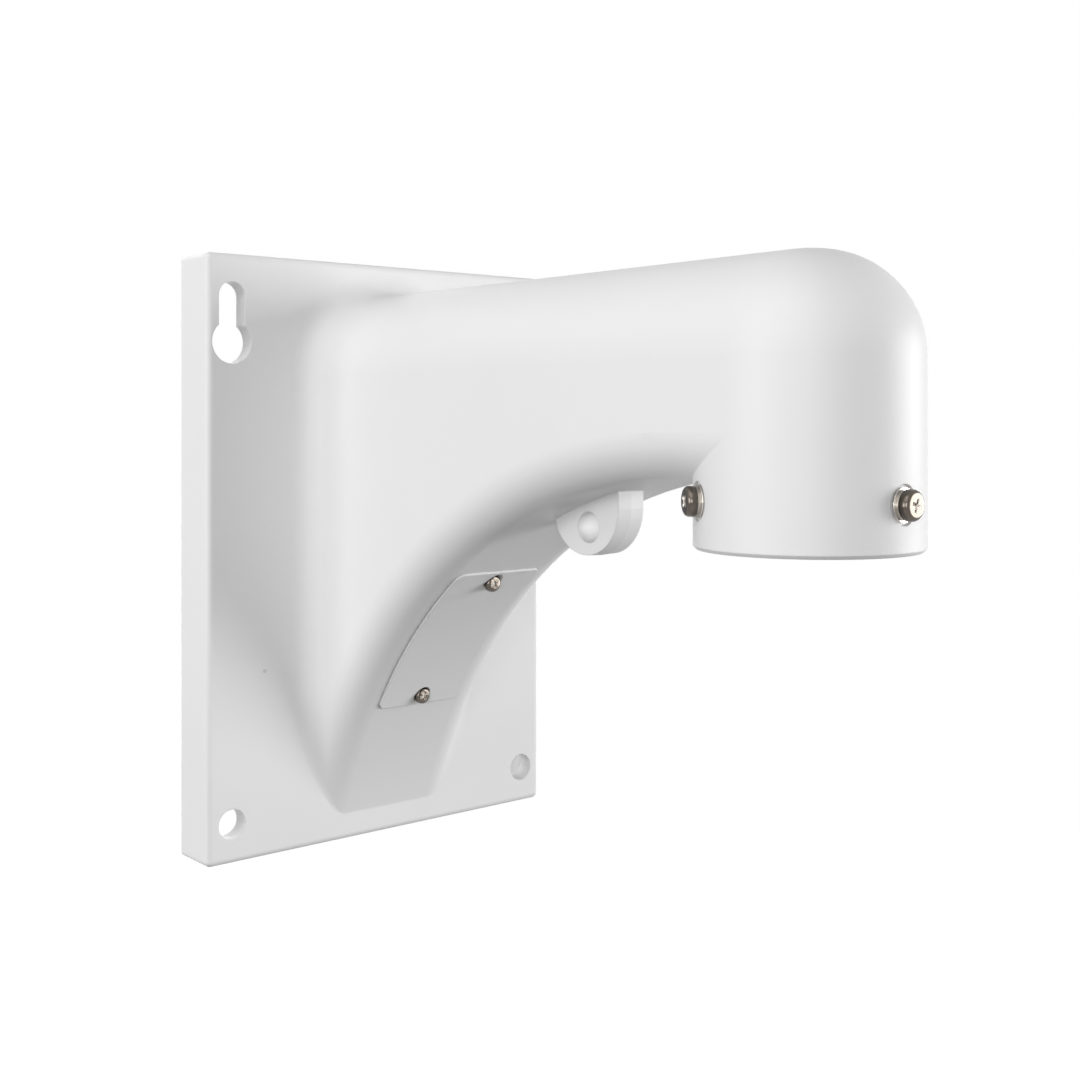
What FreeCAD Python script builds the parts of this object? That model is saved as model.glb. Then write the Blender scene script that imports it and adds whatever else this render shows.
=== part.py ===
import FreeCAD, Part
import math
import os
import Sketcher

# Camera wall bracket. The wall is the plane y = 0, the arm reaches towards -Y, +Z is up
# and x = 0 is the plane of symmetry. The origin is the centre of the wall face of the plate.

doc = FreeCAD.newDocument("camera_wall_bracket")

# Driving sizes in mm, angles in degrees
values = {
    "plate_width": 140,
    "plate_height": 200,
    "plate_depth": 18,
    "plate_wall": 4,
    "plate_rim": 4,
    "plate_corner": 2,
    "plate_edge": 2,
    "hole_spacing": 122,
    "hole_inset": 13,
    "hole_width": 9.7,
    "hole_boss_width": 18,
    "hole_boss_height": 2,
    "keyhole_inset": 14,
    "keyhole_slot": 9.5,
    "keyhole_entry": 14.4,
    "keyhole_drop": 15,
    "arm_reach": 207.8,
    "arm_width": 58.6,
    "arm_top_margin": 11.5,
    "arm_crown": 27,
    "arm_wall": 5,
    "duct_mouth": 1,
    "underside_radius": 176,
    "underside_top": 30,
    "underside_edge": 12,
    "root_margin": 9,
    "root_fillet": 8.5,
    "root_fillet_foot": 2,
    "collar_bottom": 12.3,
    "collar_bore": 44.8,
    "collar_edge": 0.9,
    "collar_lead": 1.2,
    "eye_reach": 128.5,
    "eye_height": 19.7,
    "eye_radius": 14.4,
    "eye_thickness": 10,
    "eye_draft": 2.5,
    "eye_hole_reach": 130,
    "eye_hole_height": 13.8,
    "eye_hole_width": 9.2,
    "hatch_low_angle": 32.3,
    "hatch_high_angle": 54.3,
    "hatch_width": 32.8,
    "hatch_thickness": 2,
    "hatch_proud": 0.7,
    "hatch_gap": 0.2,
    "hatch_corner": 2.5,
    "hatch_opening_corner": 3,
    "hatch_ledge": 3.5,
    "hatch_screw_low": 33.4,
    "hatch_screw_high": 52,
    "hatch_room_low": 2.6,
    "hatch_room_high": 4.5,
    "cup_sink_low": 0.7,
    "cup_sink_high": 0.3,
    "cup_floor": 1.5,
    "cup_bore": 6.1,
    "cup_width": 7.6,
    "cup_clearance": 0.2,
    "boss_width": 14,
    "boss_tip": 2,
    "hatch_thread": 3,
    "hatch_head_width": 5.6,
    "hatch_head_height": 2.2,
    "hatch_washer_width": 5.4,
    "hatch_washer_height": 0.8,
    "hatch_length": 8,
    "hatch_cross_length": 3.4,
    "hatch_cross_width": 0.9,
    "hatch_cross_depth": 1.2,
    "clamp_height": 12.5,
    "clamp_seat": 28.5,
    "clamp_seat_width": 10,
    "clamp_thread": 4,
    "clamp_head_width": 7.8,
    "clamp_head_height": 2.6,
    "clamp_spring_width": 7,
    "clamp_spring_height": 0.9,
    "clamp_washer_width": 8.6,
    "clamp_washer_height": 0.7,
    "clamp_length": 7.5,
    "clamp_cross_length": 4.6,
    "clamp_cross_width": 1.1,
    "clamp_cross_depth": 1.5,
    "spring_gap": 0.8,
    "thread_clearance": 0.05,
    "screw_hole_clearance": 0.2,
    "washer_clearance": 0.2,
}

sheet = doc.addObject("Spreadsheet::Sheet", "sizes")
for row, (name, value) in enumerate(values.items(), start=1):
    sheet.set("A" + str(row), name)
    sheet.set("B" + str(row), str(value))
    sheet.setAlias("B" + str(row), name)
doc.recompute()


def size(name):
    return float(sheet.get(name))


# The arm's root stands on the plate, with a margin above its top and below its foot
arm_top = size("plate_height") / 2 - size("arm_top_margin")
arm_top_by = "(sizes.plate_height / 2 - sizes.arm_top_margin)"
root_drop = size("plate_height") / 2 - size("root_margin")
root_drop_by = "(sizes.plate_height / 2 - sizes.root_margin)"

# Centre of the arc of the arm's underside. It runs from the foot of the arm, on the front of
# the plate, to a level stretch beside the collar.
arc_z = "(sizes.underside_top - sizes.underside_radius)"
arc_rise = "(sizes.underside_radius - sizes.underside_top - " + root_drop_by + ")"
arc_run = "sqrt(sizes.underside_radius ^ 2 - " + arc_rise + " ^ 2)"
arc_y = "(sizes.plate_depth + " + arc_run + ")"
arc_centre_z = size("underside_top") - size("underside_radius")
arc_centre_rise = -root_drop - arc_centre_z
arc_centre_run = math.sqrt(size("underside_radius") ** 2 - arc_centre_rise ** 2)
arc_centre_y = -size("plate_depth") - arc_centre_run


def vec(x, y, z=0):
    return FreeCAD.Vector(x, y, z)


def new_body(name):
    body = doc.addObject("PartDesign::Body", name)
    body.Label = name
    return body


def new_sketch(body, name, role, offset="0"):
    plane = [f for f in body.Origin.OriginFeatures if f.Role == role][0]
    sketch = body.newObject("Sketcher::SketchObject", name)
    sketch.AttachmentSupport = (plane, [""])
    sketch.MapMode = "FlatFace"
    sketch.setExpression("AttachmentOffset.Base.z", offset)
    return sketch


def bind(sketch, name, constraint, expression):
    number = sketch.addConstraint(constraint)
    sketch.renameConstraint(number, name)
    sketch.setExpression("Constraints." + name, expression)


def circle(sketch, name, x, z, diameter, x_by, z_by, diameter_by):
    """Circle whose centre has signed offsets from the sketch's origin."""
    geo = sketch.addGeometry(Part.Circle(vec(x, z), vec(0, 0, 1), diameter / 2))
    bind(sketch, name + "_width", Sketcher.Constraint("Diameter", geo, diameter), diameter_by)
    if x_by is None:
        sketch.addConstraint(Sketcher.Constraint("PointOnObject", geo, 3, -2))
    elif x > 0:
        bind(sketch, name + "_x", Sketcher.Constraint("DistanceX", -1, 1, geo, 3, x), x_by)
    else:
        bind(sketch, name + "_x", Sketcher.Constraint("DistanceX", geo, 3, -1, 1, -x), x_by)
    if z_by is None:
        sketch.addConstraint(Sketcher.Constraint("PointOnObject", geo, 3, -1))
    elif z > 0:
        bind(sketch, name + "_z", Sketcher.Constraint("DistanceY", -1, 1, geo, 3, z), z_by)
    else:
        bind(sketch, name + "_z", Sketcher.Constraint("DistanceY", geo, 3, -1, 1, -z), z_by)
    return geo


def rectangle(sketch, width, height, width_by, height_by):
    """Rectangle centred on the sketch's origin."""
    x, z = width / 2, height / 2
    corners = [vec(-x, -z), vec(x, -z), vec(x, z), vec(-x, z)]
    for i in range(4):
        sketch.addGeometry(Part.LineSegment(corners[i], corners[(i + 1) % 4]))
    for i in range(4):
        sketch.addConstraint(Sketcher.Constraint("Coincident", i, 2, (i + 1) % 4, 1))
        sketch.addConstraint(Sketcher.Constraint("Vertical" if i % 2 else "Horizontal", i))
    sketch.addConstraint(Sketcher.Constraint("Symmetric", 0, 1, 1, 2, -1, 1))
    bind(sketch, "width", Sketcher.Constraint("DistanceX", 0, 1, 0, 2, width), width_by)
    bind(sketch, "height", Sketcher.Constraint("DistanceY", 1, 1, 1, 2, height), height_by)


def pad(body, sketch, name, length_by, both_ways=False, reverse=False):
    feature = body.newObject("PartDesign::Pad", name)
    feature.Profile = sketch
    feature.setExpression("Length", length_by)
    feature.Midplane = both_ways
    feature.Reversed = reverse
    doc.recompute()
    return feature


def pocket(body, sketch, name, length_by, both_ways=False, reverse=False):
    before = body.Shape.Volume
    feature = body.newObject("PartDesign::Pocket", name)
    feature.Profile = sketch
    feature.setExpression("Length", length_by)
    feature.Midplane = both_ways
    feature.Reversed = reverse
    doc.recompute()
    if before - body.Shape.Volume < 0.01:
        raise RuntimeError(name + " cuts nothing")
    return feature


def dress(kind, body, name, value_by, chosen):
    """Fillet or chamfer of the edges of the body's shape that the test chooses."""
    tip = body.Tip
    names = ["Edge" + str(i) for i, e in enumerate(tip.Shape.Edges, start=1) if chosen(e)]
    feature = body.newObject("PartDesign::" + kind, name)
    feature.Base = (tip, names)
    feature.setExpression("Radius" if kind == "Fillet" else "Size", value_by)
    doc.recompute()
    return feature


def fillet(body, name, radius_by, chosen):
    return dress("Fillet", body, name, radius_by, chosen)


def level(edge, axis, at):
    """True where the whole edge lies at one coordinate."""
    box = edge.BoundBox
    low = {"x": box.XMin, "y": box.YMin, "z": box.ZMin}[axis]
    high = {"x": box.XMax, "y": box.YMax, "z": box.ZMax}[axis]
    return abs(low - at) < 0.01 and abs(high - at) < 0.01


def middle(edge):
    first, last = edge.ParameterRange
    return edge.valueAt((first + last) / 2)


def side_profile(sketch, inset, inset_by, back, back_by):
    """Side view of the arm: level top, straight front and the arc of the underside.

    The inset is 0 for the outside and the wall for the duct. The profile ends inside the
    plate, at a distance back from the wall.
    """
    top = arm_top - inset
    reach = size("arm_reach")
    radius = size("underside_radius") + inset
    floor = arc_centre_z + radius
    foot_z = arc_centre_z + math.sqrt(radius ** 2 - (back + arc_centre_y) ** 2)
    foot_angle = math.atan2(foot_z - arc_centre_z, -back - arc_centre_y)
    rim = Part.Circle(vec(arc_centre_y, arc_centre_z), vec(0, 0, 1), radius)
    lines = [
        (vec(-back, top), vec(-reach, top)),
        (vec(-reach, top), vec(-reach, floor)),
        (vec(-reach, floor), vec(arc_centre_y, floor)),
    ]
    for start, end in lines:
        sketch.addGeometry(Part.LineSegment(start, end))
    arc = sketch.addGeometry(Part.ArcOfCircle(rim, foot_angle, math.pi / 2))
    closing = sketch.addGeometry(Part.LineSegment(vec(-back, foot_z), vec(-back, top)))
    add = sketch.addConstraint
    add(Sketcher.Constraint("Horizontal", 0))
    add(Sketcher.Constraint("Vertical", 1))
    add(Sketcher.Constraint("Horizontal", 2))
    add(Sketcher.Constraint("Vertical", closing))
    add(Sketcher.Constraint("Coincident", 0, 2, 1, 1))
    add(Sketcher.Constraint("Coincident", 1, 2, 2, 1))
    add(Sketcher.Constraint("Coincident", 2, 2, arc, 2))
    add(Sketcher.Constraint("Coincident", closing, 2, 0, 1))
    add(Sketcher.Constraint("Vertical", arc, 2, arc, 3))
    add(Sketcher.Constraint("Coincident", arc, 1, closing, 1))
    bind(sketch, "back", Sketcher.Constraint("DistanceX", 0, 1, -1, 1, back), back_by)
    high = Sketcher.Constraint("DistanceY", -1, 1, 0, 1, top)
    bind(sketch, "high", high, arm_top_by + " - " + inset_by)
    bind(sketch, "reach", Sketcher.Constraint("DistanceX", 0, 2, -1, 1, reach), "sizes.arm_reach")
    bend = Sketcher.Constraint("Radius", arc, radius)
    bind(sketch, "bend", bend, "sizes.underside_radius + " + inset_by)
    run = Sketcher.Constraint("DistanceX", arc, 3, -1, 1, -arc_centre_y)
    bind(sketch, "centre_y", run, arc_y)
    drop = Sketcher.Constraint("DistanceY", arc, 3, -1, 1, -arc_centre_z)
    bind(sketch, "centre_z", drop, "-" + arc_z)


def round_end(sketch, half, half_by):
    """Half circle about the collar's axis, with straight sides that run back into the arm."""
    reach, overlap = size("arm_reach"), size("arm_crown")
    tip = Part.Circle(vec(0, -reach), vec(0, 0, 1), half)
    sketch.addGeometry(Part.ArcOfCircle(tip, math.pi, 2 * math.pi))
    sketch.addGeometry(Part.LineSegment(vec(half, -reach), vec(half, overlap - reach)))
    sketch.addGeometry(Part.LineSegment(vec(half, overlap - reach), vec(-half, overlap - reach)))
    sketch.addGeometry(Part.LineSegment(vec(-half, overlap - reach), vec(-half, -reach)))
    add = sketch.addConstraint
    add(Sketcher.Constraint("Tangent", 0, 2, 1, 1))
    add(Sketcher.Constraint("Coincident", 1, 2, 2, 1))
    add(Sketcher.Constraint("Coincident", 2, 2, 3, 1))
    add(Sketcher.Constraint("Tangent", 3, 2, 0, 1))
    add(Sketcher.Constraint("Vertical", 1))
    add(Sketcher.Constraint("Horizontal", 2))
    add(Sketcher.Constraint("PointOnObject", 0, 3, -2))
    bind(sketch, "half", Sketcher.Constraint("Radius", 0, half), half_by)
    bind(sketch, "reach", Sketcher.Constraint("DistanceY", 0, 3, -1, 1, reach), "sizes.arm_reach")
    bind(sketch, "overlap", Sketcher.Constraint("DistanceY", 1, 1, 1, 2, overlap), "sizes.arm_crown")


def arm_form(body, inset, inset_by, back, back_by):
    """Arm and collar as one form, rounded outside and, inset for the duct, with flats."""
    kind = "Fillet" if inset == 0 else "Chamfer"
    share_by = "" if inset == 0 else flat_by
    half = size("arm_width") / 2 - inset
    width_by = "(sizes.arm_width - 2 * " + inset_by + ")"
    side = new_sketch(body, body.Name + "_side", "YZ_Plane")
    side_profile(side, inset, inset_by, back, back_by)
    pad(body, side, body.Name + "_arm", width_by, both_ways=True)
    floor = size("underside_top") + inset

    def low_edge(edge):
        point = middle(edge)
        at_end = level(edge, "y", -back) or level(edge, "y", -size("arm_reach"))
        return abs(abs(point.x) - half) < 0.01 and point.z < floor + 0.01 and not at_end

    dress(kind, body, body.Name + "_low_edges",
          share_by + "(sizes.underside_edge - " + inset_by + ")", low_edge)
    end = new_sketch(body, body.Name + "_end", "XY_Plane", above_low_edge_by)
    round_end(end, half, width_by + " / 2")
    pad(body, end, body.Name + "_round_end", arm_top_by + " - " + inset_by + " - " + above_low_edge_by)
    top = arm_top - inset

    def crown_edge(edge):
        return level(edge, "z", top) and not level(edge, "y", -back)

    dress(kind, body, body.Name + "_crown", share_by + "(sizes.arm_crown - " + inset_by + ")", crown_edge)


# Leg of a flat at 45 degrees that touches the middle of a rounding, as a share of its radius
flat_by = "(2 - sqrt(2)) * "
above_low_edge_by = "(sizes.underside_top + sizes.underside_edge)"

# Casting, outside: arm, collar, plate and safety eye
casting = new_body("casting_body")
arm_form(casting, 0, "0", size("plate_depth") - size("plate_wall") / 2,
         "sizes.plate_depth - sizes.plate_wall / 2")

collar = new_sketch(casting, "collar_outline", "XY_Plane", "sizes.collar_bottom")
circle(collar, "collar", 0, -size("arm_reach"), size("arm_width"), None,
       "sizes.arm_reach", "sizes.arm_width")
pad(casting, collar, "collar_wall", above_low_edge_by + " - sizes.collar_bottom")

plate = new_sketch(casting, "plate_outline", "XZ_Plane")
rectangle(plate, size("plate_width"), size("plate_height"), "sizes.plate_width", "sizes.plate_height")
pad(casting, plate, "plate", "sizes.plate_depth")


def plate_corner_edge(edge):
    point = middle(edge)
    at_side = abs(abs(point.x) - size("plate_width") / 2) < 0.01
    return at_side and abs(abs(point.z) - size("plate_height") / 2) < 0.01


def plate_rim_edge(edge):
    if not level(edge, "y", -size("plate_depth")):
        return False
    point = middle(edge)
    reach_x = size("plate_width") / 2 - size("plate_corner")
    reach_z = size("plate_height") / 2 - size("plate_corner")
    return abs(point.x) > reach_x or abs(point.z) > reach_z


fillet(casting, "plate_corners", "sizes.plate_corner", plate_corner_edge)
fillet(casting, "plate_front_edge", "sizes.plate_edge", plate_rim_edge)
dress("Chamfer", casting, "collar_rim", "sizes.collar_edge", lambda e: level(e, "z", size("collar_bottom")))

# Safety eye: a round-ended lug that leans in from the parting line at x = 0 to both faces
eye = new_sketch(casting, "eye_outline", "YZ_Plane")
eye_y, eye_z, eye_r = -size("eye_reach"), size("eye_height"), size("eye_radius")
eye_top = size("underside_top") + size("arm_wall") / 2
eye_round = Part.Circle(vec(eye_y, eye_z), vec(0, 0, 1), eye_r)
eye.addGeometry(Part.ArcOfCircle(eye_round, math.pi, 2 * math.pi))
eye.addGeometry(Part.LineSegment(vec(eye_y + eye_r, eye_z), vec(eye_y + eye_r, eye_top)))
eye.addGeometry(Part.LineSegment(vec(eye_y + eye_r, eye_top), vec(eye_y - eye_r, eye_top)))
eye.addGeometry(Part.LineSegment(vec(eye_y - eye_r, eye_top), vec(eye_y - eye_r, eye_z)))
eye.addConstraint(Sketcher.Constraint("Tangent", 0, 2, 1, 1))
eye.addConstraint(Sketcher.Constraint("Coincident", 1, 2, 2, 1))
eye.addConstraint(Sketcher.Constraint("Coincident", 2, 2, 3, 1))
eye.addConstraint(Sketcher.Constraint("Tangent", 3, 2, 0, 1))
eye.addConstraint(Sketcher.Constraint("Horizontal", 2))
eye.addConstraint(Sketcher.Constraint("Vertical", 1))
bind(eye, "radius", Sketcher.Constraint("Radius", 0, eye_r), "sizes.eye_radius")
bind(eye, "reach", Sketcher.Constraint("DistanceX", 0, 3, -1, 1, -eye_y), "sizes.eye_reach")
bind(eye, "height", Sketcher.Constraint("DistanceY", -1, 1, 0, 3, eye_z), "sizes.eye_height")
bind(eye, "top", Sketcher.Constraint("DistanceY", -1, 1, 1, 2, eye_top),
     "sizes.underside_top + sizes.arm_wall / 2")
for side in (False, True):
    half_name = "eye_half_left" if side else "eye_half_right"
    half = pad(casting, eye, half_name, "sizes.eye_thickness / 2", reverse=side)
    half.setExpression("TaperAngle", "-sizes.eye_draft")
    doc.recompute()

eye_hole = new_sketch(casting, "eye_hole_outline", "YZ_Plane")
circle(eye_hole, "eye_hole", -size("eye_hole_reach"), size("eye_hole_height"), size("eye_hole_width"),
       "sizes.eye_hole_reach", "sizes.eye_hole_height", "sizes.eye_hole_width")
pocket(casting, eye_hole, "eye_hole", "2 * sizes.eye_thickness", both_ways=True)

# Hollow back of the plate, with a boss behind each fixing hole
hollow = new_sketch(casting, "hollow_outline", "XZ_Plane")
hollow_width = size("plate_width") - 2 * size("plate_rim")
hollow_height = size("plate_height") - 2 * size("plate_rim")
rectangle(hollow, hollow_width, hollow_height,
          "sizes.plate_width - 2 * sizes.plate_rim", "sizes.plate_height - 2 * sizes.plate_rim")
pocket(casting, hollow, "hollow_back", "sizes.plate_depth - sizes.plate_wall", reverse=True)

hole_x = size("hole_spacing") / 2
hole_z = size("plate_height") / 2 - size("hole_inset")
slot_z = size("plate_height") / 2 - size("keyhole_inset")
entry_z = slot_z - size("keyhole_drop")
x_by = "sizes.hole_spacing / 2"
hole_z_by = "sizes.plate_height / 2 - sizes.hole_inset"
slot_z_by = "sizes.plate_height / 2 - sizes.keyhole_inset"
entry_z_by = slot_z_by + " - sizes.keyhole_drop"


def slot(sketch, name, x, width, width_by):
    """Upright slot from the entry of a keyhole to its top."""
    r = width / 2
    top_round = Part.Circle(vec(x, slot_z), vec(0, 0, 1), r)
    low_round = Part.Circle(vec(x, entry_z), vec(0, 0, 1), r)
    first = sketch.addGeometry(Part.ArcOfCircle(top_round, 0, math.pi))
    sketch.addGeometry(Part.LineSegment(vec(x - r, slot_z), vec(x - r, entry_z)))
    sketch.addGeometry(Part.ArcOfCircle(low_round, math.pi, 2 * math.pi))
    sketch.addGeometry(Part.LineSegment(vec(x + r, entry_z), vec(x + r, slot_z)))
    low = first + 2
    sketch.addConstraint(Sketcher.Constraint("Tangent", first, 2, first + 1, 1))
    sketch.addConstraint(Sketcher.Constraint("Tangent", first + 1, 2, low, 1))
    sketch.addConstraint(Sketcher.Constraint("Tangent", low, 2, first + 3, 1))
    sketch.addConstraint(Sketcher.Constraint("Tangent", first + 3, 2, first, 1))
    bind(sketch, name + "_width", Sketcher.Constraint("Radius", first, r), width_by + " / 2")
    bind(sketch, name + "_top", Sketcher.Constraint("DistanceY", -1, 1, first, 3, slot_z), slot_z_by)
    bind(sketch, name + "_low", Sketcher.Constraint("DistanceY", -1, 1, low, 3, entry_z), entry_z_by)
    ends = (-1, 1, first, 3) if x > 0 else (first, 3, -1, 1)
    bind(sketch, name + "_x", Sketcher.Constraint("DistanceX", *ends, hole_x), x_by)
    sketch.addConstraint(Sketcher.Constraint("Vertical", first + 1))


boss_face_by = "sizes.plate_depth - sizes.plate_wall - sizes.hole_boss_height"
bosses = new_sketch(casting, "boss_outlines", "XZ_Plane", boss_face_by)
holes = new_sketch(casting, "hole_outlines", "XZ_Plane", boss_face_by)
entries = new_sketch(casting, "keyhole_entry_outlines", "XZ_Plane", boss_face_by)
slots = new_sketch(casting, "keyhole_slot_outlines", "XZ_Plane", boss_face_by)
boss_width = size("hole_boss_width")
for name, x in (("left", -hole_x), ("right", hole_x)):
    circle(bosses, name + "_hole", x, -hole_z, boss_width, x_by, hole_z_by, "sizes.hole_boss_width")
    slot(bosses, name + "_slot", x, boss_width, "sizes.hole_boss_width")
    circle(holes, name, x, -hole_z, size("hole_width"), x_by, hole_z_by, "sizes.hole_width")
    circle(entries, name, x, entry_z, size("keyhole_entry"), x_by, entry_z_by, "sizes.keyhole_entry")
    slot(slots, name, x, size("keyhole_slot"), "sizes.keyhole_slot")
pad(casting, bosses, "hole_bosses", "sizes.hole_boss_height + sizes.plate_wall / 2")
hole_depth_by = "sizes.plate_wall + sizes.hole_boss_height"
pocket(casting, holes, "round_holes", hole_depth_by, reverse=True)
pocket(casting, entries, "keyhole_entries", hole_depth_by, reverse=True)
pocket(casting, slots, "keyhole_slots", hole_depth_by, reverse=True)

# Cable duct: the arm's own form, inset by the wall and open into the hollow back
duct = new_body("duct_core")
duct_back = size("plate_depth") - size("plate_wall") - size("duct_mouth")
arm_form(duct, size("arm_wall"), "sizes.arm_wall", duct_back,
         "sizes.plate_depth - sizes.plate_wall - sizes.duct_mouth")
cut = casting.newObject("PartDesign::Boolean", "cable_duct")
cut.setObjects([duct])
cut.Type = 1
doc.recompute()

bore = new_sketch(casting, "bore_outline", "XY_Plane", "sizes.collar_bottom")
circle(bore, "bore", 0, -size("arm_reach"), size("collar_bore"), None,
       "sizes.arm_reach", "sizes.collar_bore")
bore_by = above_low_edge_by + " + sizes.duct_mouth - sizes.collar_bottom"
pocket(casting, bore, "collar_bore", bore_by, reverse=True)

def lead_edge(edge):
    point = middle(edge)
    radius = math.hypot(point.x, point.y + size("arm_reach"))
    return level(edge, "z", size("collar_bottom")) and abs(radius - size("collar_bore") / 2) < 0.01


dress("Chamfer", casting, "collar_lead", "sizes.collar_lead", lead_edge)


def sector(body, name, inner, inner_by, outer, outer_by, low, low_by, high, high_by):
    """Ring sector about the centre of the underside's arc, seen from the side."""
    sketch = new_sketch(body, name, "YZ_Plane")
    sketch.setExpression("AttachmentOffset.Base.x", "-" + arc_y)
    sketch.setExpression("AttachmentOffset.Base.y", arc_z)
    start, end = math.radians(low), math.radians(high)
    turn = (vec(math.cos(start), math.sin(start)), vec(math.cos(end), math.sin(end)))
    sketch.addGeometry(Part.ArcOfCircle(Part.Circle(vec(0, 0), vec(0, 0, 1), inner), start, end))
    sketch.addGeometry(Part.ArcOfCircle(Part.Circle(vec(0, 0), vec(0, 0, 1), outer), start, end))
    sketch.addGeometry(Part.LineSegment(turn[0] * inner, turn[0] * outer))
    sketch.addGeometry(Part.LineSegment(turn[1] * inner, turn[1] * outer))
    for arc in (0, 1):
        sketch.addConstraint(Sketcher.Constraint("Coincident", arc, 3, -1, 1))
        sketch.addConstraint(Sketcher.Constraint("Coincident", 2, arc + 1, arc, 1))
        sketch.addConstraint(Sketcher.Constraint("Coincident", 3, arc + 1, arc, 2))
    for line in (2, 3):
        sketch.addConstraint(Sketcher.Constraint("PointOnObject", -1, 1, line))
    bind(sketch, "inner", Sketcher.Constraint("Radius", 0, inner), inner_by)
    bind(sketch, "outer", Sketcher.Constraint("Radius", 1, outer), outer_by)
    bind(sketch, "low", Sketcher.Constraint("Angle", 2, start), "(" + low_by + ") * 1 deg")
    bind(sketch, "high", Sketcher.Constraint("Angle", 3, end), "(" + high_by + ") * 1 deg")
    return sketch


# The cover lies in a recess of the underside. Each of its screws is level, and sits in a cup of
# the cover, which drops into a pocket of the casting with a tapped boss behind it.
radius = size("underside_radius")
cover_out = radius - size("hatch_proud")
cover_in = cover_out + size("hatch_thickness")
cover_out_by = "(sizes.underside_radius - sizes.hatch_proud)"
cover_in_by = "(sizes.underside_radius - sizes.hatch_proud + sizes.hatch_thickness)"
clear_of_arc = 0.7 * radius
clear_of_arc_by = "0.7 * sizes.underside_radius"
low, high = size("hatch_low_angle"), size("hatch_high_angle")
gap_angle = math.degrees(size("hatch_gap") / radius)
gap_angle_by = "(sizes.hatch_gap / sizes.underside_radius * 180 / pi)"


def hatch_screw_place(which):
    """Height of the screw's axis, and the distance of the cover's seat for it from the wall."""
    angle = math.radians(size("hatch_screw_" + which))
    height = arc_centre_z + radius * math.sin(angle)
    seat = -arc_centre_y - radius * math.cos(angle) - size("cup_sink_" + which)
    angle_by = "(sizes.hatch_screw_" + which + " * 1 deg)"
    height_by = "(" + arc_z + " + sizes.underside_radius * sin(" + angle_by + "))"
    seat_by = "(" + arc_y + " - sizes.underside_radius * cos(" + angle_by + ")"
    seat_by += " - sizes.cup_sink_" + which + ")"
    return height, height_by, seat, seat_by


def level_disc(body, name, which, diameter, diameter_by, from_seat_by):
    """Upright circle on the axis of a cover screw, at a distance in front of its seat."""
    height, height_by, seat, seat_by = hatch_screw_place(which)
    sketch = new_sketch(body, name, "XZ_Plane", seat_by + " + " + from_seat_by)
    if height > 0:
        circle(sketch, "disc", 0, height, diameter, None, height_by, diameter_by)
    else:
        circle(sketch, "disc", 0, height, diameter, None, "-" + height_by, diameter_by)
    return sketch


for which in ("low", "high"):
    boss_from = "-sizes.hatch_length - sizes.boss_tip"
    boss = level_disc(casting, "screw_boss_outline_" + which, which, size("boss_width"),
                      "sizes.boss_width", boss_from)
    pad(casting, boss, "screw_boss_" + which,
        "sizes.hatch_length + sizes.boss_tip + sizes.boss_width")
clear = math.degrees(size("boss_width") / radius)
clear_by = "(sizes.boss_width / sizes.underside_radius * 180 / pi)"
trim = sector(casting, "boss_trim_outline", clear_of_arc, clear_of_arc_by,
              radius, "sizes.underside_radius",
              low - clear, "sizes.hatch_low_angle - " + clear_by,
              high + clear, "sizes.hatch_high_angle + " + clear_by)
pocket(casting, trim, "boss_trim", "1.5 * sizes.boss_width", both_ways=True)

recess = sector(casting, "recess_outline", clear_of_arc, clear_of_arc_by, cover_in, cover_in_by,
                low - gap_angle, "sizes.hatch_low_angle - " + gap_angle_by,
                high + gap_angle, "sizes.hatch_high_angle + " + gap_angle_by)
pocket(casting, recess, "cover_recess", "sizes.hatch_width + 2 * sizes.hatch_gap", both_ways=True)


def radial_edge(edge, half_width, angles):
    """Straight edge along a radius of the underside's arc, at a corner of the hatch."""
    for point in [v.Point for v in edge.Vertexes] + [middle(edge)]:
        angle = math.degrees(math.atan2(point.z - arc_centre_z, point.y - arc_centre_y))
        if abs(abs(point.x) - half_width) > 0.01 or min(abs(angle - a) for a in angles) > 0.01:
            return False
    return True


recess_half = size("hatch_width") / 2 + size("hatch_gap")
fillet(casting, "recess_corners", "sizes.hatch_corner + sizes.hatch_gap",
       lambda e: radial_edge(e, recess_half, (low - gap_angle, high + gap_angle)))

open_low = size("hatch_screw_low") + size("hatch_room_low")
open_high = size("hatch_screw_high") - size("hatch_room_high")
opening = sector(casting, "opening_outline", clear_of_arc, clear_of_arc_by,
                 radius + 2 * size("arm_wall"), "sizes.underside_radius + 2 * sizes.arm_wall",
                 open_low, "sizes.hatch_screw_low + sizes.hatch_room_low",
                 open_high, "sizes.hatch_screw_high - sizes.hatch_room_high")
pocket(casting, opening, "hatch_opening", "sizes.hatch_width - 2 * sizes.hatch_ledge", both_ways=True)
opening_half = size("hatch_width") / 2 - size("hatch_ledge")
fillet(casting, "opening_corners", "sizes.hatch_opening_corner",
       lambda e: radial_edge(e, opening_half, (open_low, open_high)))

for which in ("low", "high"):
    cup = level_disc(casting, "cup_pocket_outline_" + which, which,
                     size("cup_width") + 2 * size("cup_clearance"),
                     "sizes.cup_width + 2 * sizes.cup_clearance", "-sizes.cup_floor")
    pocket(casting, cup, "cup_pocket_" + which, "sizes.boss_width", reverse=True)
    tap = level_disc(casting, "hatch_tap_outline_" + which, which,
                     size("hatch_thread") + 2 * size("thread_clearance"),
                     "sizes.hatch_thread + 2 * sizes.thread_clearance", "-sizes.cup_floor")
    pocket(casting, tap, "hatch_tap_" + which, "sizes.hatch_length - sizes.cup_floor")

# Three clamp screws in the wall of the collar, a third of a turn apart, each on a spot face
clamp_z = size("collar_bottom") + size("clamp_height")
clamp_z_by = "sizes.collar_bottom + sizes.clamp_height"
clamp_turns = (0, 120, 240)


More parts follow.
